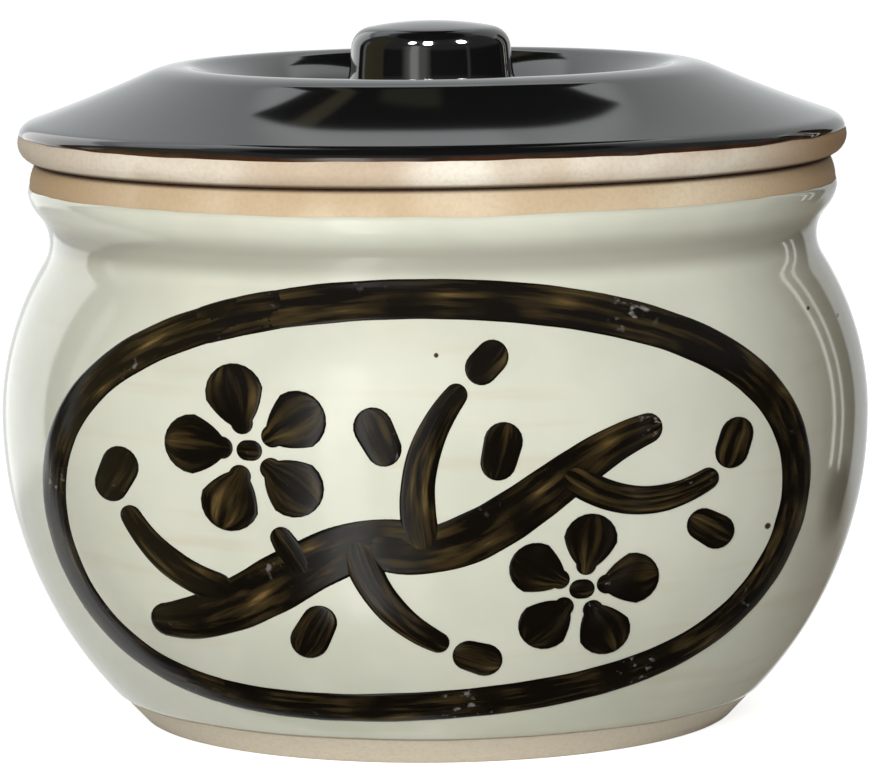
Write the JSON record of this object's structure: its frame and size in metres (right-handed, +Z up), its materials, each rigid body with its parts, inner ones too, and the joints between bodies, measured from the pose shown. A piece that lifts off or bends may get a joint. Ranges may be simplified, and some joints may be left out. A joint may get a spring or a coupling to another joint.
{
  "type": "lidded stoneware jar",
  "caption": "Squat round-bellied stoneware jar for pickled plums, with a loose lid that has a drum knob and a ring dropping into the throat.",
  "frame": {"origin": "centre of the foot ring, on the surface that the jar stands on", "axes": "+Z up along the jar's and lid's common axis; the painted front faces -Y; +X is to the right as seen from the front"},
  "size_m": [0.18, 0.1804, 0.144],
  "materials": {
    "bare_clay": "matt, warm buff where the kiln toasted it",
    "cream_glaze": "glossy, faintly green cream",
    "iron_brushwork": "glossy brown-black, streaked along the stroke",
    "black_glaze": "glossy black"
  },
  "bodies": {
    "jar": {"jar_body": "bare_clay", "outer_glaze": "cream_glaze", "lining_glaze": "cream_glaze", "painted_oval": "iron_brushwork", "painted_branch": "iron_brushwork", "painted_blossoms": "iron_brushwork", "painted_buds": "iron_brushwork"},
    "lid": {"lid_body": "bare_clay", "lid_knob": "bare_clay", "lid_top_glaze": "black_glaze", "lid_underside_glaze": "black_glaze"}
  },
  "joints": [
    {"name": "lid_lift", "type": "slide", "parent": "jar", "child": "lid", "axis": [0, 0, 1], "range_m": [0, 0.12]}
  ]
}
